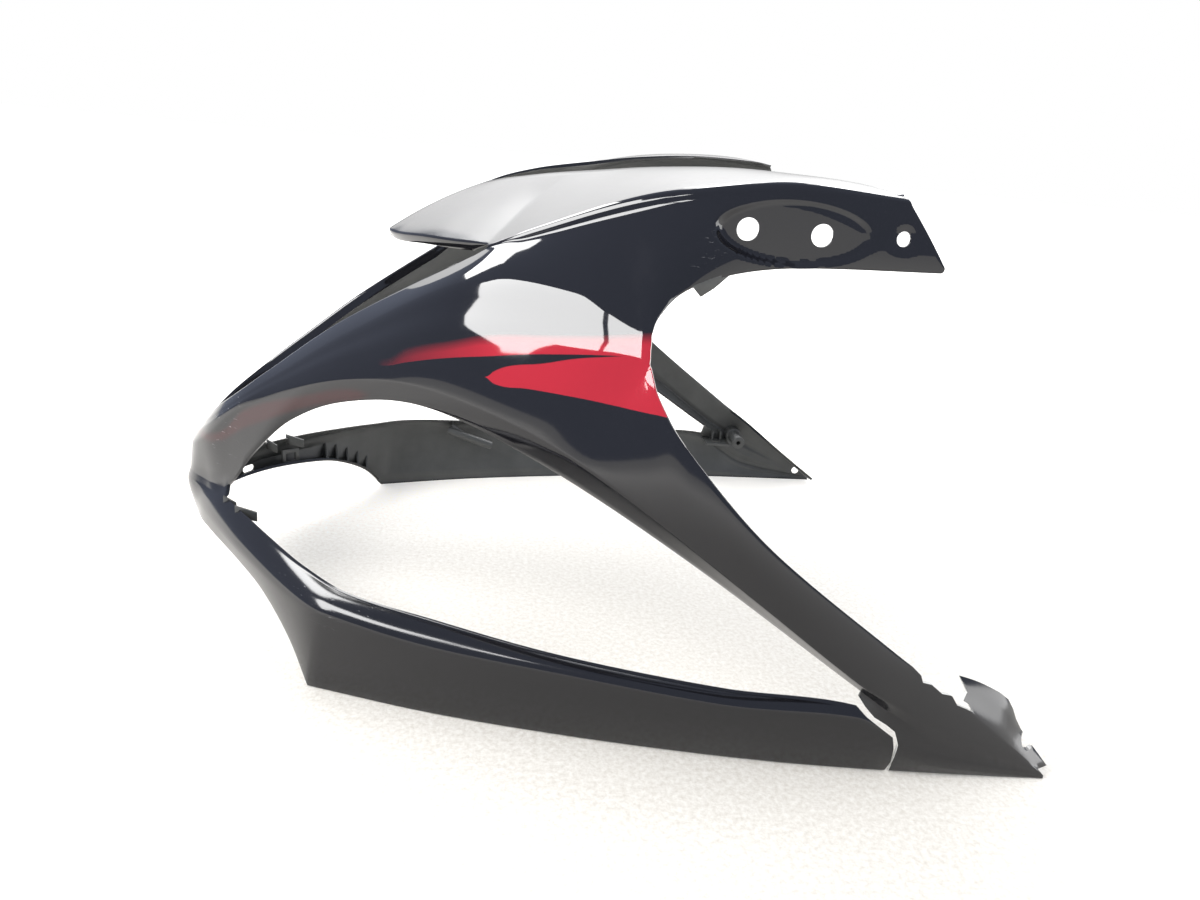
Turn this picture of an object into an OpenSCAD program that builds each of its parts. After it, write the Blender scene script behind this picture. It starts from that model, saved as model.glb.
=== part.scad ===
// Upper nose fairing of a sports motorcycle, moulded in one piece.
// The nose points to -X, the tail to +X, and +Z is up.
// The origin is on the ground under the middle of the part.
// Every edge of the moulding is a curve through a few control points.
// A control point is [station, x, half width, z] in millimetres.
// Station 0 is the middle plane at the nose and station 16 is the rear end.
// A station that is given twice makes a sharp corner in its curve.

/* [Fairing] */
// Overall length from the nose to the rear corner
fairing_length = 672; // [600:1:740]
// Overall width across the lower rear edges
fairing_width = 568; // [500:1:620]
// Overall height from the ground to the highest edge
fairing_height = 387; // [340:1:430]
// Thickness of the moulded wall
wall = 2.8; // [2.2:0.1:3.6]

/* [Mirror seat] */
// Distance between the two mirror bolt holes
mirror_spacing = 50; // [40:1:56]
// Diameter of each mirror bolt hole
mirror_bore = 15; // [8:0.5:16]
// Length of the shallow oval seat
seat_length = 114; // [100:1:116]
// Height of the shallow oval seat
seat_height = 43; // [38:1:46]
// Depth of the oval seat below the outer face
seat_depth = 3; // [2:0.1:4]

/* [Fixing holes] */
// Diameter of the hole at the rear end of each mirror arm
arm_bore = 10; // [6:0.5:12]
// Diameter of the hole in the tail flange
tail_bore = 9; // [5:0.5:11]
// Width of the slot beside the nose
nose_slot_width = 6.5; // [4:0.5:9]
// Diameter of the screw hole in the round boss
boss_bore = 5; // [3:0.5:7]

/* [Hidden] */

// Overall size and middle of the curves as drawn, and the factor to the chosen size
drawn_size = [672, 568, 387];
drawn_middle = -2;
grow = [fairing_length / drawn_size.x, fairing_width / drawn_size.y,
        fairing_height / drawn_size.z];

// Columns of faces between two stations, and the last station
cuts = 3;
last_station = 16;
half_columns = cuts * last_station;

// Stations where the outline changes
intake_corner = 7;
cutout_front = 10;
headlight_front = 2;
headlight_rear = 14;
flange_start = 14.3;
broken_flange_start = 15;
rim_end = 5.6;

// Rear edge of the deck, which the windscreen sits on
screen_edge = [
    [0, -86, 0, 355], [2, -75, 17, 359], [4, -60, 32, 363], [6, -38, 45, 368],
    [8, -3, 58, 374], [10, 41, 74, 381], [12, 98, 97, 386], [14, 162, 139, 385],
    [16, 190, 167, 382]];
// Front lip of the beak, then the upper edge of the shoulder
deck_edge = [
    [0, -167, 0, 310], [1, -158, 22, 310], [3, -135, 58, 314], [5, -109, 91, 317],
    [7, -82, 123, 321], [7, -82, 123, 321], [8, -53, 137, 336], [10, 10, 160, 364],
    [12, 57, 171, 376], [14, 116, 174, 384], [16, 190, 170, 380]];
// Ridge along the intake opening, then the lower edge of the shoulder
ridge = [
    [0, -314, 0, 143], [1, -301, 26, 158], [2, -277, 46, 179], [3, -253, 54, 199],
    [5, -186, 73, 252], [7, -83, 125, 318], [8, -55, 139, 329], [10, 9, 165, 355],
    [12, 59, 178, 369], [14, 116, 181, 375], [16, 194, 176, 375]];
// Upper line on the side panel, which becomes the lower edge of the arm
arm_edge = [
    [0, -321, 0, 134], [1, -306, 30, 149], [2, -278, 53, 173], [3, -247, 68, 197],
    [5, -182, 96, 245], [7, -94, 147, 298], [9, -18, 194, 303], [10, 24, 218, 286],
    [10, 24, 218, 286], [11, 29, 209, 296], [12, 45, 198, 311], [13, 77, 189, 323],
    [14, 121, 185, 330], [16, 226, 180, 334]];
// Lower line on the side panel, which becomes the rear edge of the strut
strut_edge = [
    [0, -327, 0, 125], [1, -310, 33, 140], [2, -278, 58, 168], [3, -240, 79, 195],
    [5, -177, 115, 233], [7, -105, 162, 265], [9, -20, 213, 268], [10, 23, 227, 270],
    [10, 23, 227, 270], [11, 29, 240, 252], [12, 47, 256, 226], [13, 103, 277, 171], [14, 195, 280, 103],
    [15, 254, 279, 62], [16, 325, 278, 8]];
// Crease that borders the headlight opening from above
crease = [
    [0, -332, 0, 115], [1, -311, 35, 131], [2, -276, 60, 163], [3, -232, 88, 193],
    [5, -171, 128, 218], [7, -116, 166, 225], [9, -48, 212, 214], [11, 17, 249, 186],
    [13, 106, 278, 129], [14, 179, 284, 77], [14.5, 212, 283, 58], [15, 247, 282, 40],
    [16, 327, 279, 6]];
// Inner edge of the flange above the headlight opening
reveal_edge = [
    [0, -335, 0, 92], [1, -310, 34, 94], [2, -288, 56, 98], [3, -264, 72, 132],
    [4, -228, 90, 170], [6, -177, 122, 199], [8, -116, 164, 211], [10, -36, 208, 190],
    [12, 61, 252, 145], [14, 184, 274, 66], [14.5, 212, 280, 49], [15, 245, 281, 31],
    [16, 328, 279, 5]];
// Inner edge of the ledge below the headlight opening
ledge_edge = [
    [0, -337, 0, 86], [1, -309, 40, 87], [2, -287, 66, 90], [3, -258, 102, 88],
    [4, -227, 138, 84], [5, -203, 163, 81], [6, -170, 191, 78], [8, -108, 215, 73],
    [10, -18, 243, 65], [12, 90, 265, 58], [14, 182, 277, 55], [14.5, 211, 281, 38],
    [15, 243, 281, 22], [16, 329, 279, 4]];
// Outer edge of the ledge, where the lower arm turns down
side_edge = [
    [0, -338, 0, 80], [1, -319, 34, 78], [2, -298, 68, 77], [3, -267, 112, 74],
    [5, -212, 178, 72], [6, -183, 203, 72], [8, -110, 230, 64], [10, -14, 255, 60],
    [12, 92, 275, 53], [14, 184, 282, 48], [14.5, 211, 282, 30], [15, 241, 281, 15],
    [16, 330, 279, 3]];
// Arch over the front wheel, then the lower edge that stands on the ground
ground_edge = [
    [0, -330, 0, 56], [1, -319, 34, 58], [2, -299, 66, 59], [3, -268, 105, 55],
    [4, -241, 138, 47], [5, -215, 170, 27], [6, -197, 192, 0], [6, -197, 192, 0],
    [8, -108, 220, 0], [10, -13, 242, 0], [12, 90, 260, 0], [14, 186, 271, 0],
    [16, 330, 279, 0]];

// Returns inwards from the deck lip, the ridge and the wheel arch
lip_return = [3, -2, -6];
ridge_return = [0, -4, -11];
nose_return = [8, 0, -9];
arch_return = [[0, 15, 0, 10], [2, 16, -8, 8], [4, 7, -11, 4], [6, 3, -9, 3]];
// Flange that is folded in from the rear edge of the strut, on the whole side
tail_flange = [[14, 0, -4, 0], [14.6, 2, -18, 1], [15.2, 2, -27, 1], [16, 6, -15, 0]];
// What is left of that flange on the broken side, bent up out of its place
broken_flange = [[15, -2, -10, 16], [15.33, -1, -12, 24], [15.5, 8, -13, 21],
    [15.67, 8, -11, 10], [16, 9, -4, 0]];

// Swell of the surface between two rows, as a share of their distance
deck_swell = 0.04;
shoulder_swell = 0.2;
panel_swell = 0.04;
ledge_swell = 0.08;
side_swell = 0.04;

// Rows of points from the windscreen edge down to the ground
row_deck = 4;
row_lip = 5;
row_intake = 6;
row_ridge = 7;
row_arm = 10;
row_flange = 11;
row_strut = 12;
row_crease = 15;
row_reveal = 17;
row_ledge = 18;
row_side = 20;
row_ground = 23;
row_rim = 24;

// Point of a control entry without its station
function place(entry) = [entry[1], entry[2], entry[3]];

// Slope of a curve at control point n, one-sided at its ends and at sharp corners
function slope(curve, n) =
    let (last = len(curve) - 1,
         before = n == 0 || curve[n][0] == curve[max(n - 1, 0)][0] ? n : n - 1,
         after = n == last || curve[n][0] == curve[min(n + 1, last)][0] ? n : n + 1,
         rise = (place(curve[after]) - place(curve[before])) / (curve[after][0] - curve[before][0]),
         on_middle = n == 0 && curve[0][2] == 0)
    on_middle ? [0, rise.y, 0] : rise;

// Smooth curve through its control points, at station s
function on(curve, s) =
    let (station = min(max(s, curve[0][0]), curve[len(curve) - 1][0]),
         spans = [for (k = [0:len(curve) - 2])
             if (curve[k][0] <= station && curve[k + 1][0] > curve[k][0]) k],
         n = spans[len(spans) - 1],
         gap = curve[n + 1][0] - curve[n][0],
         t = min(1, (station - curve[n][0]) / gap))
    (2 * t^3 - 3 * t^2 + 1) * place(curve[n]) + (t^3 - 2 * t^2 + t) * gap * slope(curve, n)
    + (3 * t^2 - 2 * t^3) * place(curve[n + 1]) + (t^3 - t^2) * gap * slope(curve, n + 1);

// Point a share t of the way from a to b, lifted outwards into a shallow arch
function between(a, b, t, swell, out) =
    a + (b - a) * t + 4 * t * (1 - t) * swell * norm(b - a) * out;

// Way out of the side, which turns to the front at the nose
function side_out(s) = s < 2 ? [s / 2 - 1, s / 2, 0] : [0, 1, 0];

// The flange behind the strut, whole on one side and broken on the other
function flange_edge(s, side) =
    on(strut_edge, s) + (side < 0 ? on(broken_flange, s) : on(tail_flange, s));

// All rows at station s, as [x, half width, z]
function section(s, side) =
    let (a = on(screen_edge, s), b = on(deck_edge, s), c = on(ridge, s),
         p = on(arm_edge, s), q = on(strut_edge, s), d = on(crease, s),
         e = on(reveal_edge, s), g = on(ledge_edge, s), h = on(side_edge, s),
         floor_line = on(ground_edge, s), out = side_out(s),
         opened = min(1, max(0, intake_corner - s)),
         nose = max(0, 1 - s / 2),
         shoulder = [0, 0.7, 0.7])
    [
        a,
        between(a, b, 0.25, deck_swell, [0, 0, 1]),
        between(a, b, 0.5, deck_swell, [0, 0, 1]),
        between(a, b, 0.75, deck_swell, [0, 0, 1]),
        b,
        opened > 0 ? b + opened * lip_return : between(b, c, 1 / 3, shoulder_swell, shoulder),
        opened > 0 ? c + opened * (nose * nose_return + (1 - nose) * ridge_return)
            : between(b, c, 2 / 3, shoulder_swell, shoulder),
        c,
        between(c, p, 1 / 3, panel_swell, out),
        between(c, p, 2 / 3, panel_swell, out),
        p,
        s <= cutout_front ? (p + q) / 2 : flange_edge(s, side),
        q,
        between(q, d, 1 / 3, panel_swell, out),
        between(q, d, 2 / 3, panel_swell, out),
        d,
        (d + e) / 2,
        e,
        g,
        between(g, h, 0.5, ledge_swell, [0, 0.4, 0.9]),
        h,
        between(h, floor_line, 1 / 3, side_swell, out),
        between(h, floor_line, 2 / 3, side_swell, out),
        floor_line,
        floor_line + on(arch_return, s)
    ];

// A drawn point at the chosen size, on the left (side -1) or right (side 1)
function real(p, side = 1) =
    [(p.x - drawn_middle) * grow.x, side * p.y * grow.y, p.z * grow.z];

// Column 0 is the rear end of the left side, which lies towards -Y
columns = [for (i = [-half_columns:half_columns])
    let (side = i < 0 ? -1 : 1)
    [for (p = section(abs(i) / cuts, side)) real(p, side)]];
row_count = row_rim + 1;
column_count = len(columns);

// Whether the wall fills the cell after row j and column i
function filled(i, j) =
    let (middle = i + 0.5 - half_columns,
         s = abs(middle) / cuts,
         flange = middle < 0 ? broken_flange_start : flange_start)
    i >= 0 && i < column_count - 1 && j >= 0 && j < row_count - 1
    && !(j == row_lip && s < intake_corner)
    && !(j == row_arm && s > cutout_front)
    && !(j == row_flange && s > cutout_front && s < flange)
    && !(j == row_reveal && s > headlight_front && s < headlight_rear)
    && !(j == row_ground && s > rim_end);

function unit(v) = v / max(norm(v), 0.000001);

// Outward direction of each cell, from its two diagonals
cell_out = [for (i = [0:column_count - 2]) [for (j = [0:row_count - 2])
    unit(cross(columns[i + 1][j + 1] - columns[i][j], columns[i][j + 1] - columns[i + 1][j]))]];

// Sum of a list of numbers or of vectors
function total(list) = [for (entry = list) 1] * list;

// Mean outward direction of the filled cells round a point, made longer at a
// crease so that the wall keeps its thickness there
function wall_step(i, j) =
    let (around = [for (di = [-1, 0], dj = [-1, 0])
             if (filled(i + di, j + dj)) cell_out[i + di][j + dj]],
         mean = len(around) == 0 ? [0, 0, 1] : unit(total(around)),
         spread = len(around) == 0 ? 1 : total([for (n = around) n * mean]) / len(around))
    mean / max(spread, 0.75);

outer_points = [for (i = [0:column_count - 1], j = [0:row_count - 1]) columns[i][j]];
inner_points = [for (i = [0:column_count - 1], j = [0:row_count - 1])
    let (p = columns[i][j] - wall * wall_step(i, j)) [p.x, p.y, max(p.z, 0)]];

// Number of the outer or inner point at column i and row j
function at(i, j, inner) = i * row_count + j + (inner ? column_count * row_count : 0);

// Two triangles across a cell, mirrored about the middle plane
function cell_faces(i, j, inner) =
    let (a = at(i, j, inner), b = at(i + 1, j, inner), c = at(i + 1, j + 1, inner),
         d = at(i, j + 1, inner), left = i < half_columns,
         pair = left ? [[a, d, b], [b, d, c]] : [[a, d, c], [a, c, b]])
    inner ? [for (t = pair) [t[0], t[2], t[1]]] : pair;

// Wall between the skins along the outer edge from one grid point to the next
function edge_faces(i0, j0, i1, j1) =
    let (p = at(i0, j0, false), q = at(i1, j1, false),
         p_in = at(i0, j0, true), q_in = at(i1, j1, true))
    [[q, p, p_in], [q, p_in, q_in]];

shell_faces = [for (i = [0:column_count - 2], j = [0:row_count - 2]) if (filled(i, j)) each concat(
    cell_faces(i, j, false),
    cell_faces(i, j, true),
    filled(i - 1, j) ? [] : edge_faces(i, j, i, j + 1),
    filled(i, j + 1) ? [] : edge_faces(i, j + 1, i + 1, j + 1),
    filled(i + 1, j) ? [] : edge_faces(i + 1, j + 1, i + 1, j),
    filled(i, j - 1) ? [] : edge_faces(i + 1, j, i, j))];

// The bare moulded wall
module moulded_wall() {
    polyhedron(points = concat(outer_points, inner_points), faces = shell_faces, convexity = 8);
}

// Facets of the oval seat
seat_facets = 48;
// Middle of the mirror seat on the outer face, and size of its flat floor
seat_middle = [116, 184, 352];
floor_share = [0.84, 0.75];
// Lean of the arm's outer face at the seat
seat_lean = [5, 0, -2];
// How far a feature reaches into the wall that carries it, and past a face it cuts
bite = 1;
over = 4;

// Puts its children at a drawn point on the right side
module put(p) {
    translate(real(p)) children();
}

// Turns +Z of its children outwards, to +Y
module facing_out() {
    rotate([-90, 0, 0]) children();
}

module both_sides() {
    children();
    mirror([0, 1, 0]) children();
}

module seat_outline(share = [1, 1], turn = 0) {
    scale([seat_length * share.x, seat_height * share.y]) rotate(turn) circle(d = 1, $fn = seat_facets);
}

// Material behind the seat, so that its floor keeps the full wall
module seat_backing() {
    put(seat_middle) {
        rotate(seat_lean) translate([0, -seat_depth - wall, 0])
            facing_out() linear_extrude(seat_depth + wall - 1.5 * bite) seat_outline([1.04, 1.06]);
        translate([0, -seat_depth - wall, 0])
            facing_out() linear_extrude(wall - bite / 2) seat_outline([0.98, 0.96]);
    }
}

// The shallow dish of the seat. Its rim slopes up to the outer face and is upright above
// that; the upright facets are turned by half a facet, so that they cross the slope.
module seat_dish() {
    deep = seat_depth + over;
    mouth_share = floor_share + ([1, 1] - floor_share) * deep / seat_depth;
    put(seat_middle) translate([0, -seat_depth, 0]) facing_out() intersection() {
        linear_extrude(deep, scale = [mouth_share.x / floor_share.x, mouth_share.y / floor_share.y])
            seat_outline(floor_share);
        translate([0, 0, -bite]) linear_extrude(deep + 2 * bite) seat_outline(turn = 180 / seat_facets);
    }
}

// Both mirror bolt holes, and the dimpled hole at the rear end of the arm
bolt_middle = [110, 184, 352];
arm_hole = [191, 182, 354];
dimple = [22, 1.6];
module arm_holes() {
    for (shift = [-0.5, 0.5]) put(bolt_middle) translate([shift * mirror_spacing, -3 * over, 0])
        facing_out() cylinder(h = 4 * over, d = mirror_bore);
    put(arm_hole) facing_out() {
        translate([0, 0, -2 * over]) cylinder(h = 3 * over, d = arm_bore);
        translate([0, 0, -dimple[1]])
            cylinder(h = 2 * dimple[1], d1 = arm_bore, d2 = 2 * dimple[0] - arm_bore);
    }
}

// Hole in the flange behind the strut, square to the flange
tail_hole = [303, 258, 19];
flange_lean = 37;
module tail_hole_cut() {
    put(tail_hole) rotate([0, flange_lean, 0])
        cylinder(h = 6 * over, d = tail_bore, center = true);
}

// Outline of a slot along X, as long and wide as its size
module slot_outline(size) {
    square([size.x - size.y, size.y], center = true);
    for (shift = [-0.5, 0.5]) translate([shift * (size.x - size.y), 0]) circle(d = size.y);
}

// Slot beside the nose, square to the wall, which is turned away from X
nose_slot = [-302, 58, 66];
nose_turn = 55;
nose_slot_length = 13;
module nose_slot_cut() {
    put(nose_slot) rotate([90, 0, nose_turn])
        linear_extrude(4 * over, center = true) slot_outline([nose_slot_length, nose_slot_width]);
}

// Round screw boss inside the side, with a wider foot
boss_foot = [223, 282, 56];
boss_size = [20, 12, 15, 36];
module screw_boss() {
    put(boss_foot) mirror([0, 1, 0]) facing_out() {
        translate([0, 0, bite]) cylinder(h = boss_size[1], d = boss_size[0]);
        translate([0, 0, bite]) cylinder(h = boss_size[3], d = boss_size[2]);
    }
}
boss_bore_depth = 30;
module boss_bore_cut() {
    put(boss_foot) mirror([0, 1, 0]) facing_out()
        translate([0, 0, bite + boss_size[3] - boss_bore_depth])
        cylinder(h = boss_bore_depth + over, d = boss_bore);
}

// Flat plate between drawn points, as thick as the step
module plate(corners, step) {
    count = len(corners);
    base = [for (p = corners) real(p)];
    turned = cross(base[1] - base[0], base[2] - base[0]) * step > 0;
    ring = [for (k = [0:count - 1]) turned ? k : count - 1 - k];
    polyhedron(
        points = concat(base, [for (p = base) p + step]),
        faces = concat([ring, [for (k = [count - 1:-1:0]) ring[k] + count]],
            [for (k = [0:count - 1]) let (u = ring[k], v = ring[(k + 1) % count])
                [v, u, u + count, v + count]]));
}

// Gussets between the side and the rim of the wheel arch
gusset_stations = [3.7, 4.05, 4.4, 4.75, 5.1];
gusset_height = 13;
rib = 2;
module gussets() {
    for (s = gusset_stations) {
        foot = on(ground_edge, s);
        rim = foot + 0.85 * on(arch_return, s);
        head = on(side_edge, s);
        top = foot + (head - foot) * (gusset_height + rim.z - foot.z) / (head.z - foot.z);
        inside = [0, -bite, bite];
        plate([foot + inside, rim + [0, 0, bite], top + inside], [rib, rib / 2, 0]);
    }
}

// Round lug under the ledge, with two webs up to the wall
lug_ends = [[-125, 213, 62], [-75, 211, 47]];
lug_diameter = 9;
web_front = [4, 0, -3];
web_top = [4, 3, 8];
web_rear = [-15, 0, 3];
web_wall = [4, 12, 0];
module locating_lug() {
    a = real(lug_ends[0]);
    along = real(lug_ends[1]) - a;
    translate(a) rotate([0, acos(along.z / norm(along)), atan2(along.y, along.x)])
        cylinder(h = norm(along), d = lug_diameter);
    front = lug_ends[0] + web_front;
    top = lug_ends[0] + web_top;
    plate([top, front, lug_ends[1] + web_rear], [0, rib, 0]);
    plate([top, front, lug_ends[0] + web_wall], [rib, 0, 0]);
}

// Upright tabs that point rearwards from the inner edge of the ledge, [station, step]
ledge_tabs = [[2, [10, 0, -6]], [2.5, [17, 0, -5]]];
tab_rise = 4;
tab_drop = 6;
module ledge_tab(s, step) {
    root = on(ledge_edge, s) + [-bite, bite, 0];
    tip = root + step;
    plate([root + [0, 0, tab_rise], root - [0, 0, tab_drop], tip - [0, 0, tab_rise],
        tip + [0, 0, tab_rise]], [0, rib, 0]);
}

// Upright loop on the rim of the arch, beside the nose
loop_stations = [2.45, 2.85];
loop_height = 16;
loop_frame = 0.24;
function on_rim(s) = on(ground_edge, s) + 0.55 * on(arch_return, s) + [0, 0, bite];
module nose_loop() {
    foot = on_rim(loop_stations[0]);
    along = on_rim(loop_stations[1]) - foot;
    up = [0, 0, loop_height];
    inner = foot + loop_frame * (along + up);
    span = 1 - 2 * loop_frame;
    difference() {
        plate([foot, foot + along, foot + along + up, foot + up], [rib, 0, 0]);
        translate([-bite, 0, 0]) plate([inner, inner + span * along, inner + span * (along + up),
            inner + span * up], [rib + 2 * bite, 0, 0]);
    }
}

// Small tab behind the lower edge of the arm, in front of the seat, as [x, z]
arm_tab = [[50, 315], [57, 308], [66, 314], [80, 327]];
arm_tab_line = [196, -0.283];
module arm_tab_plate() {
    plate([for (p = arm_tab) [p.x, arm_tab_line[0] + arm_tab_line[1] * (p.x - arm_tab[0].x), p.y]],
        [0, -rib, 0]);
}

// Level bracket behind the rear end of the ledge, with a slot and two ribs
bracket_corner = [186, 256, 47];
bracket_size = [29, 25, 2.5];
slot_size = [10, 4];
bracket_ribs = [9, 19];
bracket_rib_height = 12;
module bracket() {
    put(bracket_corner) {
        difference() {
            cube(bracket_size);
            translate([bracket_size.x / 2, bracket_size.y / 3, -bite])
                linear_extrude(over) slot_outline(slot_size);
        }
        for (x = bracket_ribs) translate([x, bracket_size.y / 2, bracket_size.z - bite / 2])
            cube([rib, bracket_size.y / 2, bracket_rib_height]);
    }
}

// Split between the lower arm and the foot of the strut, on the left side only
split = [[170, 68], [181, 65], [188, 56], [195, 49], [204, 44], [211, 39], [215, 29], [216, 11],
    [219, -9], [214, -9], [215, 11], [213, 25], [210, 35], [189, 50], [179, 59], [170, 62]];
// Edge that is left where the strut has lost its flange, on the left side only
torn_edge = [[206, 104], [211, 92], [220, 84], [222, 79], [229, 77], [238, 70], [246, 68],
    [251, 61], [258, 58], [264, 55], [261, 60], [256, 63], [260, 67], [256, 74], [248, 86]];
module outline_cut(points, outer) {
    translate([0, -real([0, outer, 0]).y, 0]) facing_out()
        linear_extrude(8 * over)
        polygon([for (p = points) let (q = real([p.x, 0, p.y])) [q.x, -q.z]]);
}
split_outer = 290;

// What is left of the flange's hole, at the edge of the broken side
half_hole = [317, 27];
half_hole_diameter = 13;
module half_hole_cut() {
    put([half_hole.x, -split_outer, half_hole.y]) facing_out()
        cylinder(h = 8 * over, d = half_hole_diameter);
}

// Round at the lower corner of the arm's rear end. Its points are steps from the corner.
arm_corner = [226, 172, 334];
arm_round = 3;
round_middle = [-5.7, -2.6];
round_waste = [round_middle, [-5.8, 2], [4, 3], [-2.2, -5.7]];
module arm_corner_cut() {
    put(arm_corner) facing_out() linear_extrude(4 * over) difference() {
        polygon(round_waste);
        translate(round_middle) circle(r = arm_round, $fn = 24);
    }
}

module upper_fairing() {
    color([0.09, 0.09, 0.1]) difference() {
        union() {
            moulded_wall();
            both_sides() {
                seat_backing();
                screw_boss();
                gussets();
                locating_lug();
                for (tab = ledge_tabs) ledge_tab(tab[0], tab[1]);
                nose_loop();
                arm_tab_plate();
            }
            bracket();
        }
        both_sides() {
            seat_dish();
            arm_holes();
            arm_corner_cut();
            boss_bore_cut();
        }
        tail_hole_cut();
        nose_slot_cut();
        outline_cut(split, split_outer);
        outline_cut(torn_edge, split_outer);
        half_hole_cut();
    }
}

upper_fairing();
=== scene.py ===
# %% [markdown]
# # The upper fairing of a sports motorcycle
# The real part is one thin moulding of glossy black plastic. It has a beak over an open
# intake, an arm for a mirror on each side, a strut that runs down and back, and a lower arm
# that goes round the front wheel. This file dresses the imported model, which is made of flat
# facets, with a smooth skin that follows the same edge curves.

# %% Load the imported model
import math

import bmesh
import bpy
from mathutils import Matrix, Vector


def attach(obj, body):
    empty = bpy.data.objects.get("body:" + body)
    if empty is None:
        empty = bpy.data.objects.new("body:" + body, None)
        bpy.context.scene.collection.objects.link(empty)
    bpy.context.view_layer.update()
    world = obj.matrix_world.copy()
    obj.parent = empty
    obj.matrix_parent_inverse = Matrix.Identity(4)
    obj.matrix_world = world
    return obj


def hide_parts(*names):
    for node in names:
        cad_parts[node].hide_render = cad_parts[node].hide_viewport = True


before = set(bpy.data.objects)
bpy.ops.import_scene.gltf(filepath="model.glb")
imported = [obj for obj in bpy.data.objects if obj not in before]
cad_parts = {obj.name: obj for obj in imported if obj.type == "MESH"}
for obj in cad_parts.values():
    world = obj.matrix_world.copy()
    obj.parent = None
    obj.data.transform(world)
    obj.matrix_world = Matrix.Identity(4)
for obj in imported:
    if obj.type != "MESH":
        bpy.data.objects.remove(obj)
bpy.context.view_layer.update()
MM = 0.001

# %% [markdown]
# ## The camera
# The photograph was taken from the left, a little above the part, with a wide lens. The
# camera stands 410 mm over the floor, looks 20 degrees down and is held with a slight roll.

# %% Set up the camera
camera_place = Vector((-66.0, -766.6, 410.0)) * MM
yaw, pitch, roll = (math.radians(a) for a in (6.917, 20.12, 5.678))
forward = Vector((math.sin(yaw) * math.cos(pitch), math.cos(yaw) * math.cos(pitch),
                  -math.sin(pitch)))
level_right = Vector((math.cos(yaw), -math.sin(yaw), 0))
level_up = level_right.cross(forward)
right = math.cos(roll) * level_right + math.sin(roll) * level_up
up = math.cos(roll) * level_up - math.sin(roll) * level_right

camera_data = bpy.data.cameras.new("camera")
camera_data.sensor_width = 36.0
camera_data.lens = 27.0
camera = bpy.data.objects.new("camera", camera_data)
camera.matrix_world = Matrix.Translation(camera_place) @ Matrix(
    (right, up, -forward)).transposed().to_4x4()
bpy.context.scene.collection.objects.link(camera)
bpy.context.scene.camera = camera
print("camera at", tuple(round(v, 3) for v in camera_place))

# %% [markdown]
# ## The edge curves
# A moulding like this is drawn by its edges. Each edge is a smooth curve through a few
# points, counted by a station that runs from 0 at the nose to 16 at the rear. A point is
# (station, x, half width, z) in millimetres. A station that is given twice makes a corner.

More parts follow.
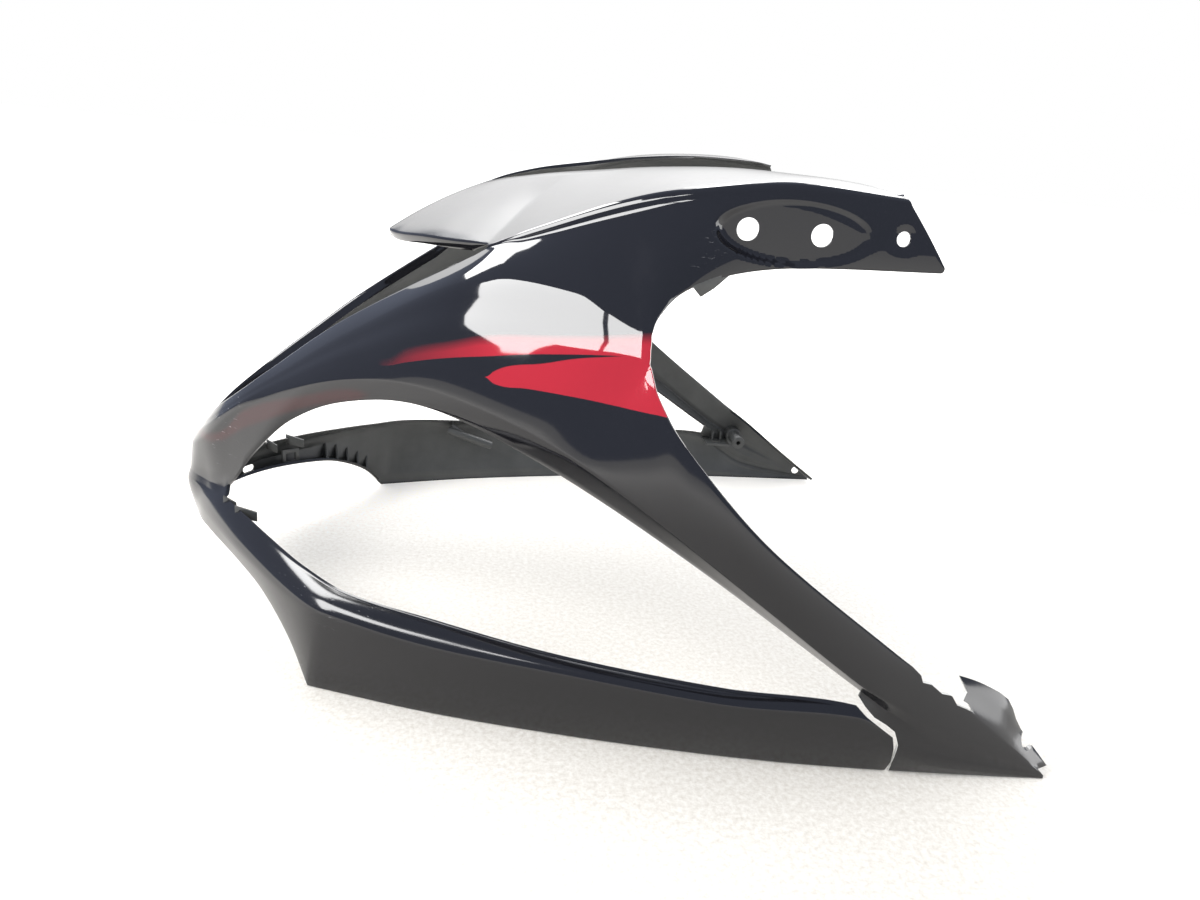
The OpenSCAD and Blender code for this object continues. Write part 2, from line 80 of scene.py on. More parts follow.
# %% Edge curves, from the windscreen edge down to the ground
EDGES = {
    "screen": [(0, -86, 0, 355), (2, -75, 17, 359), (4, -60, 32, 363), (6, -38, 45, 368),
               (8, -3, 58, 374), (10, 41, 74, 381), (12, 98, 97, 386), (14, 162, 139, 385),
               (16, 190, 167, 382)],
    "beak": [(0, -167, 0, 310), (1, -158, 22, 310), (3, -135, 58, 314), (5, -109, 91, 317),
             (7, -82, 123, 321), (7, -82, 123, 321), (8, -53, 137, 336), (10, 10, 160, 364),
             (12, 57, 171, 376), (14, 116, 174, 384), (16, 190, 170, 380)],
    "ridge": [(0, -314, 0, 143), (1, -301, 26, 158), (2, -277, 46, 179), (3, -253, 54, 199),
              (5, -186, 73, 252), (7, -83, 125, 318), (8, -55, 139, 329), (10, 9, 165, 355),
              (12, 59, 178, 369), (14, 116, 181, 375), (16, 194, 176, 375)],
    "arm": [(0, -321, 0, 134), (1, -306, 30, 149), (2, -278, 53, 173), (3, -247, 68, 197),
            (5, -182, 96, 245), (7, -94, 147, 298), (9, -18, 194, 303), (10, 24, 218, 286),
            (10, 24, 218, 286), (11, 29, 209, 296), (12, 45, 198, 311), (13, 77, 189, 323),
            (14, 121, 185, 330), (16, 226, 180, 334)],
    "strut": [(0, -327, 0, 125), (1, -310, 33, 140), (2, -278, 58, 168), (3, -240, 79, 195),
              (5, -177, 115, 233), (7, -105, 162, 265), (9, -20, 213, 268),
              (10, 23, 227, 270), (10, 23, 227, 270), (11, 29, 240, 252),
              (12, 47, 256, 226), (13, 103, 277, 171), (14, 195, 280, 103),
              (15, 254, 279, 62), (16, 325, 278, 8)],
    "crease": [(0, -332, 0, 115), (1, -311, 35, 131), (2, -276, 60, 163), (3, -232, 88, 193),
               (5, -171, 128, 218), (7, -116, 166, 225), (9, -48, 212, 214),
               (11, 17, 249, 186), (13, 106, 278, 129), (14, 179, 284, 77),
               (14.5, 212, 283, 58), (15, 247, 282, 40), (16, 327, 279, 6)],
    "reveal": [(0, -335, 0, 92), (1, -310, 34, 94), (2, -288, 56, 98), (3, -264, 72, 132),
               (4, -228, 90, 170), (6, -177, 122, 199), (8, -116, 164, 211),
               (10, -36, 208, 190), (12, 61, 252, 145), (14, 184, 274, 66),
               (14.5, 212, 280, 49), (15, 245, 281, 31), (16, 328, 279, 5)],
    "ledge": [(0, -337, 0, 86), (1, -309, 40, 87), (2, -287, 66, 90), (3, -258, 102, 88),
              (4, -227, 138, 84), (5, -203, 163, 81), (6, -170, 191, 78),
              (8, -108, 215, 73), (10, -18, 243, 65), (12, 90, 265, 58),
              (14, 182, 277, 55), (14.5, 211, 281, 38), (15, 243, 281, 22),
              (16, 329, 279, 4)],
    "side": [(0, -338, 0, 80), (1, -319, 34, 78), (2, -298, 68, 77), (3, -267, 112, 74),
             (5, -212, 178, 72), (6, -183, 203, 72), (8, -110, 230, 64),
             (10, -14, 255, 60), (12, 92, 275, 53), (14, 184, 282, 48),
             (14.5, 211, 282, 30), (15, 241, 281, 15), (16, 330, 279, 3)],
    "ground": [(0, -330, 0, 56), (1, -319, 34, 58), (2, -299, 66, 59), (3, -268, 105, 55),
               (4, -241, 138, 47), (5, -215, 170, 27), (6, -197, 192, 0),
               (6, -197, 192, 0), (8, -108, 220, 0), (10, -13, 242, 0), (12, 90, 260, 0),
               (14, 186, 271, 0), (16, 330, 279, 0)],
}
# Steps from an edge to the inner edge of the flange that is folded in from it
RETURNS = {
    "arch": [(0, 15, 0, 10), (2, 16, -8, 8), (4, 7, -11, 4), (6, 3, -9, 3)],
    "tail": [(14, 0, -4, 0), (14.6, 2, -18, 1), (15.2, 2, -27, 1), (16, 6, -15, 0)],
    "broken": [(15, -2, -10, 16), (15.33, -1, -12, 24), (15.5, 8, -13, 21),
               (15.67, 8, -11, 10), (16, 9, -4, 0)],
}


def slope(curve, n):
    """Slope at control point n, one-sided at the ends and at a corner."""
    last = len(curve) - 1
    before = n if n == 0 or curve[n][0] == curve[n - 1][0] else n - 1
    after = n if n == last or curve[n][0] == curve[n + 1][0] else n + 1
    rise = (Vector(curve[after][1:]) - Vector(curve[before][1:])) / (
        curve[after][0] - curve[before][0])
    return Vector((0, rise.y, 0)) if n == 0 and curve[0][2] == 0 else rise


def cubic(a, rise_a, b, rise_b, t, gap=1.0):
    """The point at share t of a smooth way from a to b, with these slopes at its ends."""
    return ((2 * t**3 - 3 * t**2 + 1) * a + (t**3 - 2 * t**2 + t) * gap * rise_a
            + (3 * t**2 - 2 * t**3) * b + (t**3 - t**2) * gap * rise_b)


def on(curve, s):
    """The point of a curve at station s."""
    s = min(max(s, curve[0][0]), curve[-1][0])
    n = max(k for k in range(len(curve) - 1)
            if curve[k][0] <= s and curve[k + 1][0] > curve[k][0])
    gap = curve[n + 1][0] - curve[n][0]
    t = min(1.0, (s - curve[n][0]) / gap)
    return cubic(Vector(curve[n][1:]), slope(curve, n), Vector(curve[n + 1][1:]),
                 slope(curve, n + 1), t, gap)


# The drawn x of the part's middle
MIDDLE_X = -2


def place(point, side=1):
    """A drawn point in the scene, on the left (-1) or the right (1)."""
    return Vector(((point[0] - MIDDLE_X) * MM, side * point[1] * MM, point[2] * MM))


print("nose tip at", place(on(EDGES["side"], 0)))

# %% [markdown]
# ## From edges to a section
# Across the part, the skin goes from edge to edge. A band between two edges is a shallow
# arch, and where two bands meet at an angle the corner is rounded, because a moulded corner
# always is, and it is this small round that catches the light.

# %% One section across the skin
# Band, cells across it, swell as a share of its width
BANDS = [("deck", 10, 0.04), ("lip", 2, 0.0), ("intake", 3, 0.0), ("return", 2, 0.0),
         ("panel", 28, 0.04), ("cut", 3, 0.0), ("flange", 3, 0.0), ("strut", 10, 0.04),
         ("reveal", 4, 0.0), ("headlight", 3, 0.0), ("ledge", 8, 0.08), ("side", 10, 0.04),
         ("rim", 4, 0.0)]
# Radius of the round at the edge before each band, and at the last edge
ROUNDS = [0, 2.5, 0, 0, 3.0, 0, 0, 0, 1.8, 0, 1.5, 6.0, 1.5, 0]
ROUND_CELLS = 4
INTAKE_CORNER, CUTOUT_FRONT = 7, 10
HEADLIGHT_FRONT, HEADLIGHT_REAR = 2, 14
FLANGE_START, BROKEN_START, RIM_END = 14.35, 15, 5.65
# Until where the panel is smooth over its guide lines, and over how far it lets go of them
SMOOTH_END, SMOOTH_FADE = 11, 2
# Steps to the inner edge of the beak's lip, and of the ridge at the nose and behind it
LIP_STEP, NOSE_STEP, RIDGE_STEP = Vector((3, -2, -6)), Vector((8, 0, -9)), Vector((0, -4, -11))
# How the skin bulges between beak and ridge, behind the intake
BULGE, BULGE_WAY = 0.18, Vector((0, 0.7, 0.7))
# Narrowest band, and the most of a band that the round at its edge may take
NARROWEST, MOST_ROUND = 0.01, 0.35


def clamp(value, low=0.0, high=1.0):
    return min(max(value, low), high)


def edge_points(s, side):
    """The points of all edges at station s."""
    e = {name: on(curve, s) for name, curve in EDGES.items()}
    opened = clamp(INTAKE_CORNER - s)
    nose = max(0.0, 1 - s / 2)
    ridge_return = nose * NOSE_STEP + (1 - nose) * RIDGE_STEP
    across = e["ridge"] - e["beak"]
    bulge = BULGE * across.length * BULGE_WAY
    lip = e["beak"] + (opened * LIP_STEP if opened else across / 3 + bulge)
    intake = e["ridge"] + (opened * ridge_return if opened else bulge - across / 3)
    if s <= CUTOUT_FRONT:
        flange = (e["arm"] + e["strut"]) / 2
    else:
        flange = e["strut"] + on(RETURNS["broken" if side < 0 else "tail"], s)
    return [e["screen"], e["beak"], lip, intake, e["ridge"], e["arm"], flange, e["strut"],
            e["crease"], e["reveal"], e["ledge"], e["side"], e["ground"],
            e["ground"] + on(RETURNS["arch"], s)]


def swell_way(name, s):
    """The way a band bulges: upwards on the deck, outwards on the sides."""
    if name == "deck":
        return Vector((0, 0, 1))
    if name == "ledge":
        return Vector((0, 0.4, 0.9))
    return Vector((s / 2 - 1, s / 2, 0)) if s < 2 else Vector((0, 1, 0))


def section(s, side):
    """All points of the skin at station s, from the windscreen edge to the arch rim."""
    edges = edge_points(s, side)
    whole = clamp((SMOOTH_END - s) / SMOOTH_FADE)
    starts, ends = [], []
    for k, (name, cells, swell) in enumerate(BANDS):
        across = edges[k + 1] - edges[k]
        arch = 4 * swell * across.length * swell_way(name, s)
        starts.append(across + arch)
        ends.append(across - arch)
    # The bands of the panel meet smoothly in front of the cut-out
    for k in (5, 6, 7):
        smooth = (edges[k + 1] - edges[k - 1]).normalized()
        ends[k - 1] = ends[k - 1].lerp(smooth * ends[k - 1].length, whole)
        starts[k] = starts[k].lerp(smooth * starts[k].length, whole)
    points = []
    for k, (name, cells, swell) in enumerate(BANDS):
        a, b = edges[k], edges[k + 1]
        length = max((b - a).length, NARROWEST)
        first = min(ROUNDS[k] / length, MOST_ROUND)
        last = 1 - min(ROUNDS[k + 1] / length, MOST_ROUND)
        for n in range(cells + 1):
            t = first + (last - first) * n / cells
            p = cubic(a, starts[k], b, ends[k], t)
            if n == 0 and k > 0:
                if ROUNDS[k] == 0:
                    continue
                q = points[-1]
                points += [(1 - f)**2 * q + 2 * f * (1 - f) * a + f * f * p
                           for f in (m / ROUND_CELLS for m in range(1, ROUND_CELLS))]
            points.append(p)
    return points


def band_rows():
    """First and last row of each band in a section."""
    rows, row = {}, 0
    for k, (name, cells, swell) in enumerate(BANDS):
        row += ROUND_CELLS if ROUNDS[k] else 0
        rows[name] = (row, row + cells)
        row += cells
    return rows


ROWS = band_rows()
ROW_TOTAL = ROWS["rim"][1]
print("rows in a section:", ROW_TOTAL, "points found:", len(section(3.0, 1)) - 1)

# %% [markdown]
# ## The mirror seat
# The mirror bolts to a shallow oval seat in the arm. It is pressed into the skin, so it is
# made by moving the skin's points down to a flat floor, with a narrow sloping rim.

# %% Press the seat and the dimple into a point of the skin
SEAT_MIDDLE, SEAT_SIZE, SEAT_FLOOR = (116, 352), (114, 43), 181.0
# Share of the seat's radius that its rim takes, and its depth where the arm is thinnest
SEAT_RIM, SEAT_LEAST = 0.18, 1.4
BOLT_MIDDLE, BOLT_SPACING = (110, 352), 50
ARM_HOLE, DIMPLE_RADIUS, DIMPLE_SLOPE, DIMPLE_DEPTH = (191, 354), 11.0, 6, 1.6
# Least x, half width and z of the points that are pressed
PRESSED_FROM = (40, 160, 320)


def press_seat(p):
    """Moves a point of the arm inwards, to the seat's floor and into the dimple."""
    if any(value < least for value, least in zip(p, PRESSED_FROM)):
        return p
    reach = math.hypot((p.x - SEAT_MIDDLE[0]) / SEAT_SIZE[0] * 2,
                       (p.z - SEAT_MIDDLE[1]) / SEAT_SIZE[1] * 2)
    sunk = clamp((1.0 - reach) / SEAT_RIM)
    sunk = sunk * sunk * (3 - 2 * sunk)
    floor = min(SEAT_FLOOR, p.y - SEAT_LEAST)
    y = p.y - sunk * (p.y - floor)
    away = math.hypot(p.x - ARM_HOLE[0], p.z - ARM_HOLE[1])
    y -= DIMPLE_DEPTH * clamp((DIMPLE_RADIUS - away) / DIMPLE_SLOPE)
    return Vector((p.x, y, p.z))


arm_point = Vector((SEAT_MIDDLE[0], on(EDGES["arm"], 14).y, SEAT_MIDDLE[1]))
print("half width of the arm:", arm_point.y, "and of its seat:", press_seat(arm_point).y)

# %% [markdown]
# ## The skin
# The skin is laid out as a flat grid of stations and rows, because a grid keeps its columns
# in line with the edges and has no poles. Cells in the openings are deleted, and each
# vertex goes to its place on the curves. The columns are closer together along the arm,
# where the seat needs them.

# %% Lay out the grid and bend it to the curves
ARM_START, REAR_START = 12, 15
# Columns for each step of the station
FRONT_CELLS, ARM_CELLS, REAR_CELLS = 7, 26, 16


def stations():
    """All columns of the grid, from the left rear end round the nose to the right one."""
    front = [k / FRONT_CELLS for k in range(ARM_START * FRONT_CELLS)]
    arm = [ARM_START + k / ARM_CELLS for k in range((REAR_START - ARM_START) * ARM_CELLS)]
    rear = [REAR_START + k / REAR_CELLS for k in range(REAR_CELLS + 1)]
    half = front + arm + rear
    return [-s for s in reversed(half[1:])] + half


STATIONS = stations()


def inside_band(row, name):
    """Whether a row lies between the two edges of a band."""
    return ROWS[name][0] < row < ROWS[name][1]


def is_open(station, row):
    """Whether the cell round this station and row lies in an opening."""
    s, left = abs(station), station < 0
    flange = BROKEN_START if left else FLANGE_START
    return ((inside_band(row, "intake") and s < INTAKE_CORNER)
            or (inside_band(row, "cut") and s > CUTOUT_FRONT)
            or (inside_band(row, "flange") and CUTOUT_FRONT < s < flange)
            or (inside_band(row, "headlight") and HEADLIGHT_FRONT < s < HEADLIGHT_REAR)
            or (inside_band(row, "rim") and s > RIM_END))


def new_object(name, bm):
    """Turns a bmesh into an object in the scene."""
    mesh = bpy.data.meshes.new(name)
    bm.to_mesh(mesh)
    bm.free()
    made = bpy.data.objects.new(name, mesh)
    bpy.context.scene.collection.objects.link(made)
    return made


def skin_object():
    """The outer skin: one flat grid, opened and then bent to the curves."""
    columns = len(STATIONS) - 1
    bm = bmesh.new()
    bm.loops.layers.uv.new("along_and_down")
    bmesh.ops.create_grid(bm, x_segments=columns, y_segments=ROW_TOTAL, size=1.0,
                          calc_uvs=True)
    print("grid vertices:", len(bm.verts), "wanted:", (columns + 1) * (ROW_TOTAL + 1))
    doomed = []
    for face in bm.faces:
        middle = face.calc_center_median()
        i = (middle.x + 1) / 2 * columns
        row = (1 - middle.y) / 2 * ROW_TOTAL
        station = (STATIONS[math.floor(i)] + STATIONS[math.ceil(i)]) / 2
        if is_open(station, row):
            doomed.append(face)
    bmesh.ops.delete(bm, geom=doomed, context="FACES")
    cache = {}
    for vert in bm.verts:
        i = round((vert.co.x + 1) / 2 * columns)
        row = round((1 - vert.co.y) / 2 * ROW_TOTAL)
        if i not in cache:
            side = -1 if STATIONS[i] < 0 else 1
            cache[i] = [place(press_seat(p), side) for p in section(abs(STATIONS[i]), side)]
        vert.co = cache[i][row]
    bmesh.ops.recalc_face_normals(bm, faces=bm.faces)
    top = max(bm.faces, key=lambda f: f.calc_center_median().z)
    if top.normal.z < 0:
        bmesh.ops.reverse_faces(bm, faces=bm.faces)
    return new_object("moulded_skin", bm)


skin = skin_object()
print("skin faces:", len(skin.data.polygons))

# %% [markdown]
# ## The wall
# The wall is 2.8 mm thick. Solidify pushes a second skin inwards, and gives it the second
# material slot, because the inside of a painted moulding is bare plastic. Bevel then rounds
# only the cut edges of the wall.

# %% Give the skin its wall
WALL = 2.8 * MM
# Round on the wall's cut edges, which turn by more than this angle
EDGE_ROUND, EDGE_TURN = 0.6 * MM, math.radians(60)


def applied(obj):
    """Turns the result of an object's modifiers into its mesh."""
    shape = obj.evaluated_get(bpy.context.evaluated_depsgraph_get())
    mesh = bpy.data.meshes.new_from_object(shape)
    obj.modifiers.clear()
    obj.data = mesh
    return obj


for slot_name in ("black_paint", "bare_plastic", "broken_plastic"):
    skin.data.materials.append(bpy.data.materials.new(slot_name))
solidify = skin.modifiers.new("wall", "SOLIDIFY")
solidify.thickness = WALL
solidify.offset = -1
solidify.use_even_offset = True
solidify.thickness_clamp = 1.0
solidify.material_offset = 1
bevel = skin.modifiers.new("cut_edges", "BEVEL")
bevel.width = EDGE_ROUND
bevel.segments = 2
bevel.limit_method = "ANGLE"
bevel.angle_limit = EDGE_TURN
applied(skin)
print("wall faces:", len(skin.data.polygons))

# %% [markdown]
# ## Holes and breaks
# The holes, the round at the arm's rear corner, the split in the left lower arm and the
# torn edge of the left strut go through the finished wall, so they are cut with one Boolean
# and a mesh that holds all the cutters. The cutters of the breaks bring their own material
# for the raw plastic.

# %% Outlines and places of the cuts
SPLIT = [(170, 68), (181, 65), (188, 56), (195, 49), (204, 44), (211, 39), (215, 29),
         (216, 11), (219, -9), (214, -9), (215, 11), (213, 25), (210, 35), (189, 50),
         (179, 59), (170, 62)]
TORN = [(206, 104), (211, 92), (220, 84), (222, 79), (229, 77), (238, 70), (246, 68),
        (251, 61), (258, 58), (264, 55), (261, 60), (256, 63), (260, 67), (256, 74), (248, 86)]
# Middle of the round at the lower rear corner of the arm, and the waste outside it
ROUND_MIDDLE, ROUND_RADIUS = (220.3, 336.6), 3
ROUND_WASTE = [(220.2, 332), (230, 331), (223.8, 339.7)]
# Half widths between which the corner and the breaks are cut
CORNER_CUT, BREAK_CUT = (172, 190), (262, 292)

ACROSS = (0, 1, 0)
ARM_WALL, BOLT_BORE, ARM_BORE, ARM_DRILL = 182, 15, 10, 20
# Hole in the right flange, and the hole in the wall behind it
TAIL_HOLE, TAIL_WAY, TAIL_BORE, TAIL_DRILL = (303, 258, 19), (0.6, 0, 0.8), 9, 20
WALL_HOLE, WALL_DRILL = (312, 278, 12), 14
# Half hole at the edge of the broken left flange
HALF_HOLE, HALF_BORE, HALF_DRILL = (317, 274, 27), 13, 32
NOSE_SLOT, NOSE_SLOT_TURN, NOSE_SLOT_SIZE, NOSE_SLOT_DEPTH = (-302, 58, 66), 55, (13, 6.5), 16
print("points in the split:", len(SPLIT), "and in the torn edge:", len(TORN))

# %% Build the cutters and cut
CUT_SIDES = 40
PAINT, RAW = 0, 2


def add_drill(bm, at, way, diameter, length, side):
    """A drill bit through a drawn point, along a way."""
    way = Vector((way[0], way[1] * side, way[2])).normalized()
    turn = way.to_track_quat("Z", "Y").to_matrix().to_4x4()
    bmesh.ops.create_cone(bm, cap_ends=True, segments=CUT_SIDES, radius1=diameter / 2 * MM,
                          radius2=diameter / 2 * MM, depth=length * MM,
                          matrix=Matrix.Translation(place(at, side)) @ turn)


def pushed_out(bm, ring, way):
    """Makes a block from the flat face on this ring, and returns all its vertices."""
    flat = ring[0].link_faces[0]
    pushed = bmesh.ops.extrude_face_region(bm, geom=[flat], use_keep_orig=True)["geom"]
    far_ring = [v for v in pushed if isinstance(v, bmesh.types.BMVert)]
    bmesh.ops.translate(bm, vec=way, verts=far_ring)
    return list(ring) + far_ring


def add_stamp(bm, outline, reach, side, slot):
    """A blade with an outline in x and z, which leaves this material slot behind."""
    near, far = reach
    ring = bmesh.ops.create_circle(bm, segments=len(outline), radius=1.0,
                                   cap_ends=True)["verts"]
    for vert, (x, z) in zip(ring, outline):
        vert.co = place((x, near, z), side)
    for vert in pushed_out(bm, ring, (0, side * (far - near) * MM, 0)):
        for made in vert.link_faces:
            made.material_index = slot


def add_slot(bm, at, turn, size, depth):
    """A slot cutter, made from a circle whose halves are moved apart."""
    ring = bmesh.ops.create_circle(bm, segments=CUT_SIDES, radius=size[1] / 2 * MM,
                                   cap_ends=True)["verts"]
    for vert in ring:
        vert.co.x += math.copysign((size[0] - size[1]) / 2 * MM, vert.co.x)
    block = pushed_out(bm, ring, (0, 0, depth * MM))
    bmesh.ops.transform(bm, verts=block, matrix=Matrix.Translation(place(at)) @ turn
                        @ Matrix.Translation((0, 0, -depth / 2 * MM)))


def arc_of_round():
    """The round that the arm's corner keeps, from its rear edge to its lower edge."""
    for degrees in range(40, -91, -10):
        a = math.radians(degrees)
        yield (ROUND_MIDDLE[0] + ROUND_RADIUS * math.cos(a),
               ROUND_MIDDLE[1] + ROUND_RADIUS * math.sin(a))


def cutter_object():
    """One mesh with all the cutters that go through the wall."""
    bm = bmesh.new()
    for side in (-1, 1):
        for shift in (-BOLT_SPACING / 2, BOLT_SPACING / 2):
            add_drill(bm, (BOLT_MIDDLE[0] + shift, SEAT_FLOOR, BOLT_MIDDLE[1]), ACROSS,
                      BOLT_BORE, ARM_DRILL, side)
        add_drill(bm, (ARM_HOLE[0], ARM_WALL, ARM_HOLE[1]), ACROSS, ARM_BORE, ARM_DRILL, side)
        add_stamp(bm, ROUND_WASTE + list(arc_of_round()), CORNER_CUT, side, PAINT)
    add_drill(bm, TAIL_HOLE, TAIL_WAY, TAIL_BORE, TAIL_DRILL, 1)
    add_drill(bm, WALL_HOLE, ACROSS, TAIL_BORE, WALL_DRILL, 1)
    upright = Matrix.Rotation(math.radians(90), 4, "X")
    add_slot(bm, NOSE_SLOT, Matrix.Rotation(math.radians(NOSE_SLOT_TURN), 4, "Z") @ upright,
             NOSE_SLOT_SIZE, NOSE_SLOT_DEPTH)
    add_stamp(bm, SPLIT, BREAK_CUT, -1, RAW)
    add_stamp(bm, TORN, BREAK_CUT, -1, RAW)
    add_drill(bm, HALF_HOLE, ACROSS, HALF_BORE, HALF_DRILL, -1)
    bmesh.ops.recalc_face_normals(bm, faces=bm.faces)
    return new_object("cutters", bm)


cutters = cutter_object()
for material in skin.data.materials:
    cutters.data.materials.append(material)


def cut_out(obj, cutter, overlaps=False):
    """Cuts one object out of another, which may be made of parts that overlap."""
    cut = obj.modifiers.new("cut", "BOOLEAN")
    cut.operation = "DIFFERENCE"
    cut.solver = "EXACT"
    cut.use_self = overlaps
    cut.object = cutter
    applied(obj)
    bpy.data.objects.remove(cutter)


SHARP_ANGLE = math.radians(38)


def shade(bm):
    """Smooth faces, with the real corners kept sharp."""
    for face in bm.faces:
        face.smooth = True
    for edge in bm.edges:
        edge.smooth = edge.calc_face_angle(math.pi) < SHARP_ANGLE


def finish_edges(obj):
    """Takes away loose points, shades the rest and counts its open edges."""
    bm = bmesh.new()
    bm.from_mesh(obj.data)
    loose = [v for v in bm.verts if not v.link_faces]
    bmesh.ops.delete(bm, geom=loose, context="VERTS")
    shade(bm)
    open_edges = sum(1 for edge in bm.edges if not edge.is_manifold)
    bm.to_mesh(obj.data)
    bm.free()
    print(obj.name, "faces:", len(obj.data.polygons), "open edges:", open_edges)


cut_out(skin, cutters)
finish_edges(skin)
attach(skin, "root")
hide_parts("upper_fairing")

# %% [markdown]
# ## Small features on the inside
# Ribs, tabs, loops and bosses hold the neighbouring parts. They could be cubes and
# cylinders, but here each begins as a flat disc with as many corners as it needs, because
# its vertices can go straight to drawn points before it is pushed out to its thickness. A
# small bevel follows, because a sharp edge looks like paper.

# %% Tools for the small features
# Edges that turn by more than this angle are rounded, by so much on plates and on rods
EDGE_ANGLE, PLATE_ROUND, ROD_ROUND = 0.8, 0.3, 0.5
ROD_SIDES = 36


def corner_edges(bm):
    """The edges at which two faces make a corner."""
    return [e for e in bm.edges if e.calc_face_angle(0) > EDGE_ANGLE]


def soften(bm, width, edges):
    """Rounds these edges by a width in millimetres."""
    bmesh.ops.bevel(bm, geom=edges, offset=width * MM, offset_type="OFFSET", affect="EDGES",
                    segments=2, profile=0.5, material=-1)


def plate(corners, step, side, hollow=0.0):
    """A flat plate with these drawn corners, as thick as the step, or a hollow frame."""
    bm = bmesh.new()
    bmesh.ops.create_circle(bm, segments=len(corners), radius=1.0, cap_ends=True)
    for vert, corner in zip(bm.verts, corners):
        vert.co = place(corner, side)
    if hollow:
        bm.normal_update()
        inner = bmesh.ops.inset_region(bm, faces=list(bm.faces), thickness=hollow * MM,
                                       use_boundary=True, use_even_offset=True)
        frame_faces = set(inner["faces"])
        hole = [f for f in bm.faces if f not in frame_faces]
        bmesh.ops.delete(bm, geom=hole, context="FACES")
    pushed = bmesh.ops.extrude_face_region(bm, geom=list(bm.faces),
                                           use_keep_orig=True)["geom"]
    bmesh.ops.translate(bm, vec=Vector((step[0], side * step[1], step[2])) * MM,
                        verts=[v for v in pushed if isinstance(v, bmesh.types.BMVert)])
    bmesh.ops.recalc_face_normals(bm, faces=bm.faces)
    soften(bm, PLATE_ROUND, corner_edges(bm))
    return bm


def rod(foot, way, diameter, length, side, bore=0.0, depth=0.0):
    """A round bar from a drawn point along a way, with a hole in its far end."""
    bm = bmesh.new()
    bmesh.ops.create_circle(bm, segments=ROD_SIDES, radius=diameter / 2 * MM, cap_ends=True)
    body = bmesh.ops.extrude_face_region(bm, geom=list(bm.faces), use_keep_orig=True)["geom"]
    bmesh.ops.translate(bm, vec=(0, 0, length * MM),
                        verts=[v for v in body if isinstance(v, bmesh.types.BMVert)])
    bmesh.ops.recalc_face_normals(bm, faces=bm.faces)
    far_rim = [e for e in corner_edges(bm)
               if min(v.co.z for v in e.verts) > length * MM / 2]
    soften(bm, ROD_ROUND, far_rim)
    if bore:
        cap = max(bm.faces, key=lambda f: (round(f.calc_center_median().z, 6), f.calc_area()))
        bmesh.ops.inset_region(bm, faces=[cap],
                               thickness=(diameter - bore) / 2 * MM - ROD_ROUND * MM)
        down = bmesh.ops.extrude_face_region(bm, geom=[cap])["geom"]
        bmesh.ops.translate(bm, vec=(0, 0, -depth * MM),
                            verts=[v for v in down if isinstance(v, bmesh.types.BMVert)])
        bmesh.ops.delete(bm, geom=[cap], context="FACES_ONLY")
    way = Vector((way[0], way[1] * side, way[2])).normalized()
    bmesh.ops.transform(bm, verts=bm.verts, matrix=Matrix.Translation(place(foot, side))
                        @ way.to_track_quat("Z", "Y").to_matrix().to_4x4())
    return bm


def joined(name, parts):
    """One piece of the finished part from several small meshes."""
    whole = bmesh.new()
    for bm in parts:
        mesh = bpy.data.meshes.new(name)
        bm.to_mesh(mesh)
        bm.free()
        whole.from_mesh(mesh)
        bpy.data.meshes.remove(mesh)
    shade(whole)
    made = new_object(name, whole)
    made.data.materials.append(bpy.data.materials["bare_plastic"])
    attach(made, "root")
    print(name, "faces:", len(made.data.polygons))
    return made


def both_sides(parts_of):
    """The meshes that a function makes for the left side and then for the right one."""
    return [bm for side in (-1, 1) for bm in parts_of(side)]


# %% [markdown]
# ## The screw bosses
# A screw that holds the neighbouring part goes into a round boss, which stands in a wider
# collar on the side wall. One turned profile could make it, but two rods that overlap take
# fewer words, and nobody sees where they overlap.

# %% Screw bosses
BOSS_FOOT, BOSS_WAY = (223, 281, 56), (0, -1, 0)
# Diameter and length
COLLAR, BOSS, BOSS_HOLE = (20, 12), (15, 36), (5, 30)


def boss(side):
    """A screw boss in a wider collar, from the side wall inwards."""
    return [rod(BOSS_FOOT, BOSS_WAY, *COLLAR, side),
            rod(BOSS_FOOT, BOSS_WAY, *BOSS, side, *BOSS_HOLE)]


joined("screw_bosses", both_sides(boss))

# %% [markdown]
# ## The bracket
# Behind the right headlight opening a level shelf with a slot stands on the wall, kept
# stiff by two ribs. The slot could be part of the outline, but cut with a Boolean it leaves
# the outline a plain rectangle. The ribs overlap the shelf, so the Boolean is told to mind
# overlaps too.

# %% Bracket behind the right headlight opening
SHELF_X, SHELF_Y, SHELF_Z, SHELF_STEP = (186, 215), (256, 281), 47, (0, 0, 2.5)
RIB_STARTS, RIB_Y, RIB_Z, RIB_STEP = (195, 205), (268.5, 280), (49, 61), (2, 0, 0)
SHELF_SLOT, SHELF_SLOT_SIZE, SHELF_SLOT_DEPTH = (200.5, 264.3, 48), (10, 4), 9


def rectangle(first, second):
    """The four corners between two pairs of values, in order round it."""
    return [(first[0], second[0]), (first[1], second[0]), (first[1], second[1]),
            (first[0], second[1])]


shelf = plate([(x, y, SHELF_Z) for x, y in rectangle(SHELF_X, SHELF_Y)], SHELF_STEP, 1)
shelf_ribs = [plate([(x, y, z) for y, z in rectangle(RIB_Y, RIB_Z)], RIB_STEP, 1)
              for x in RIB_STARTS]
bracket = joined("bracket", [shelf] + shelf_ribs)
slot_bm = bmesh.new()
add_slot(slot_bm, SHELF_SLOT, Matrix.Identity(4), SHELF_SLOT_SIZE, SHELF_SLOT_DEPTH)
bmesh.ops.recalc_face_normals(slot_bm, faces=slot_bm.faces)
cut_out(bracket, new_object("slot_cutter", slot_bm), overlaps=True)
finish_edges(bracket)

# %% [markdown]
# ## Gussets and tabs
# Small plates with three corners stiffen the folded rim of the wheel arch, and tabs stand
# behind the ledge and hang below the arm. The corners could all be typed, as the arm
# tab's are, but the rest come from the edge curves and stay on the skin if those move.

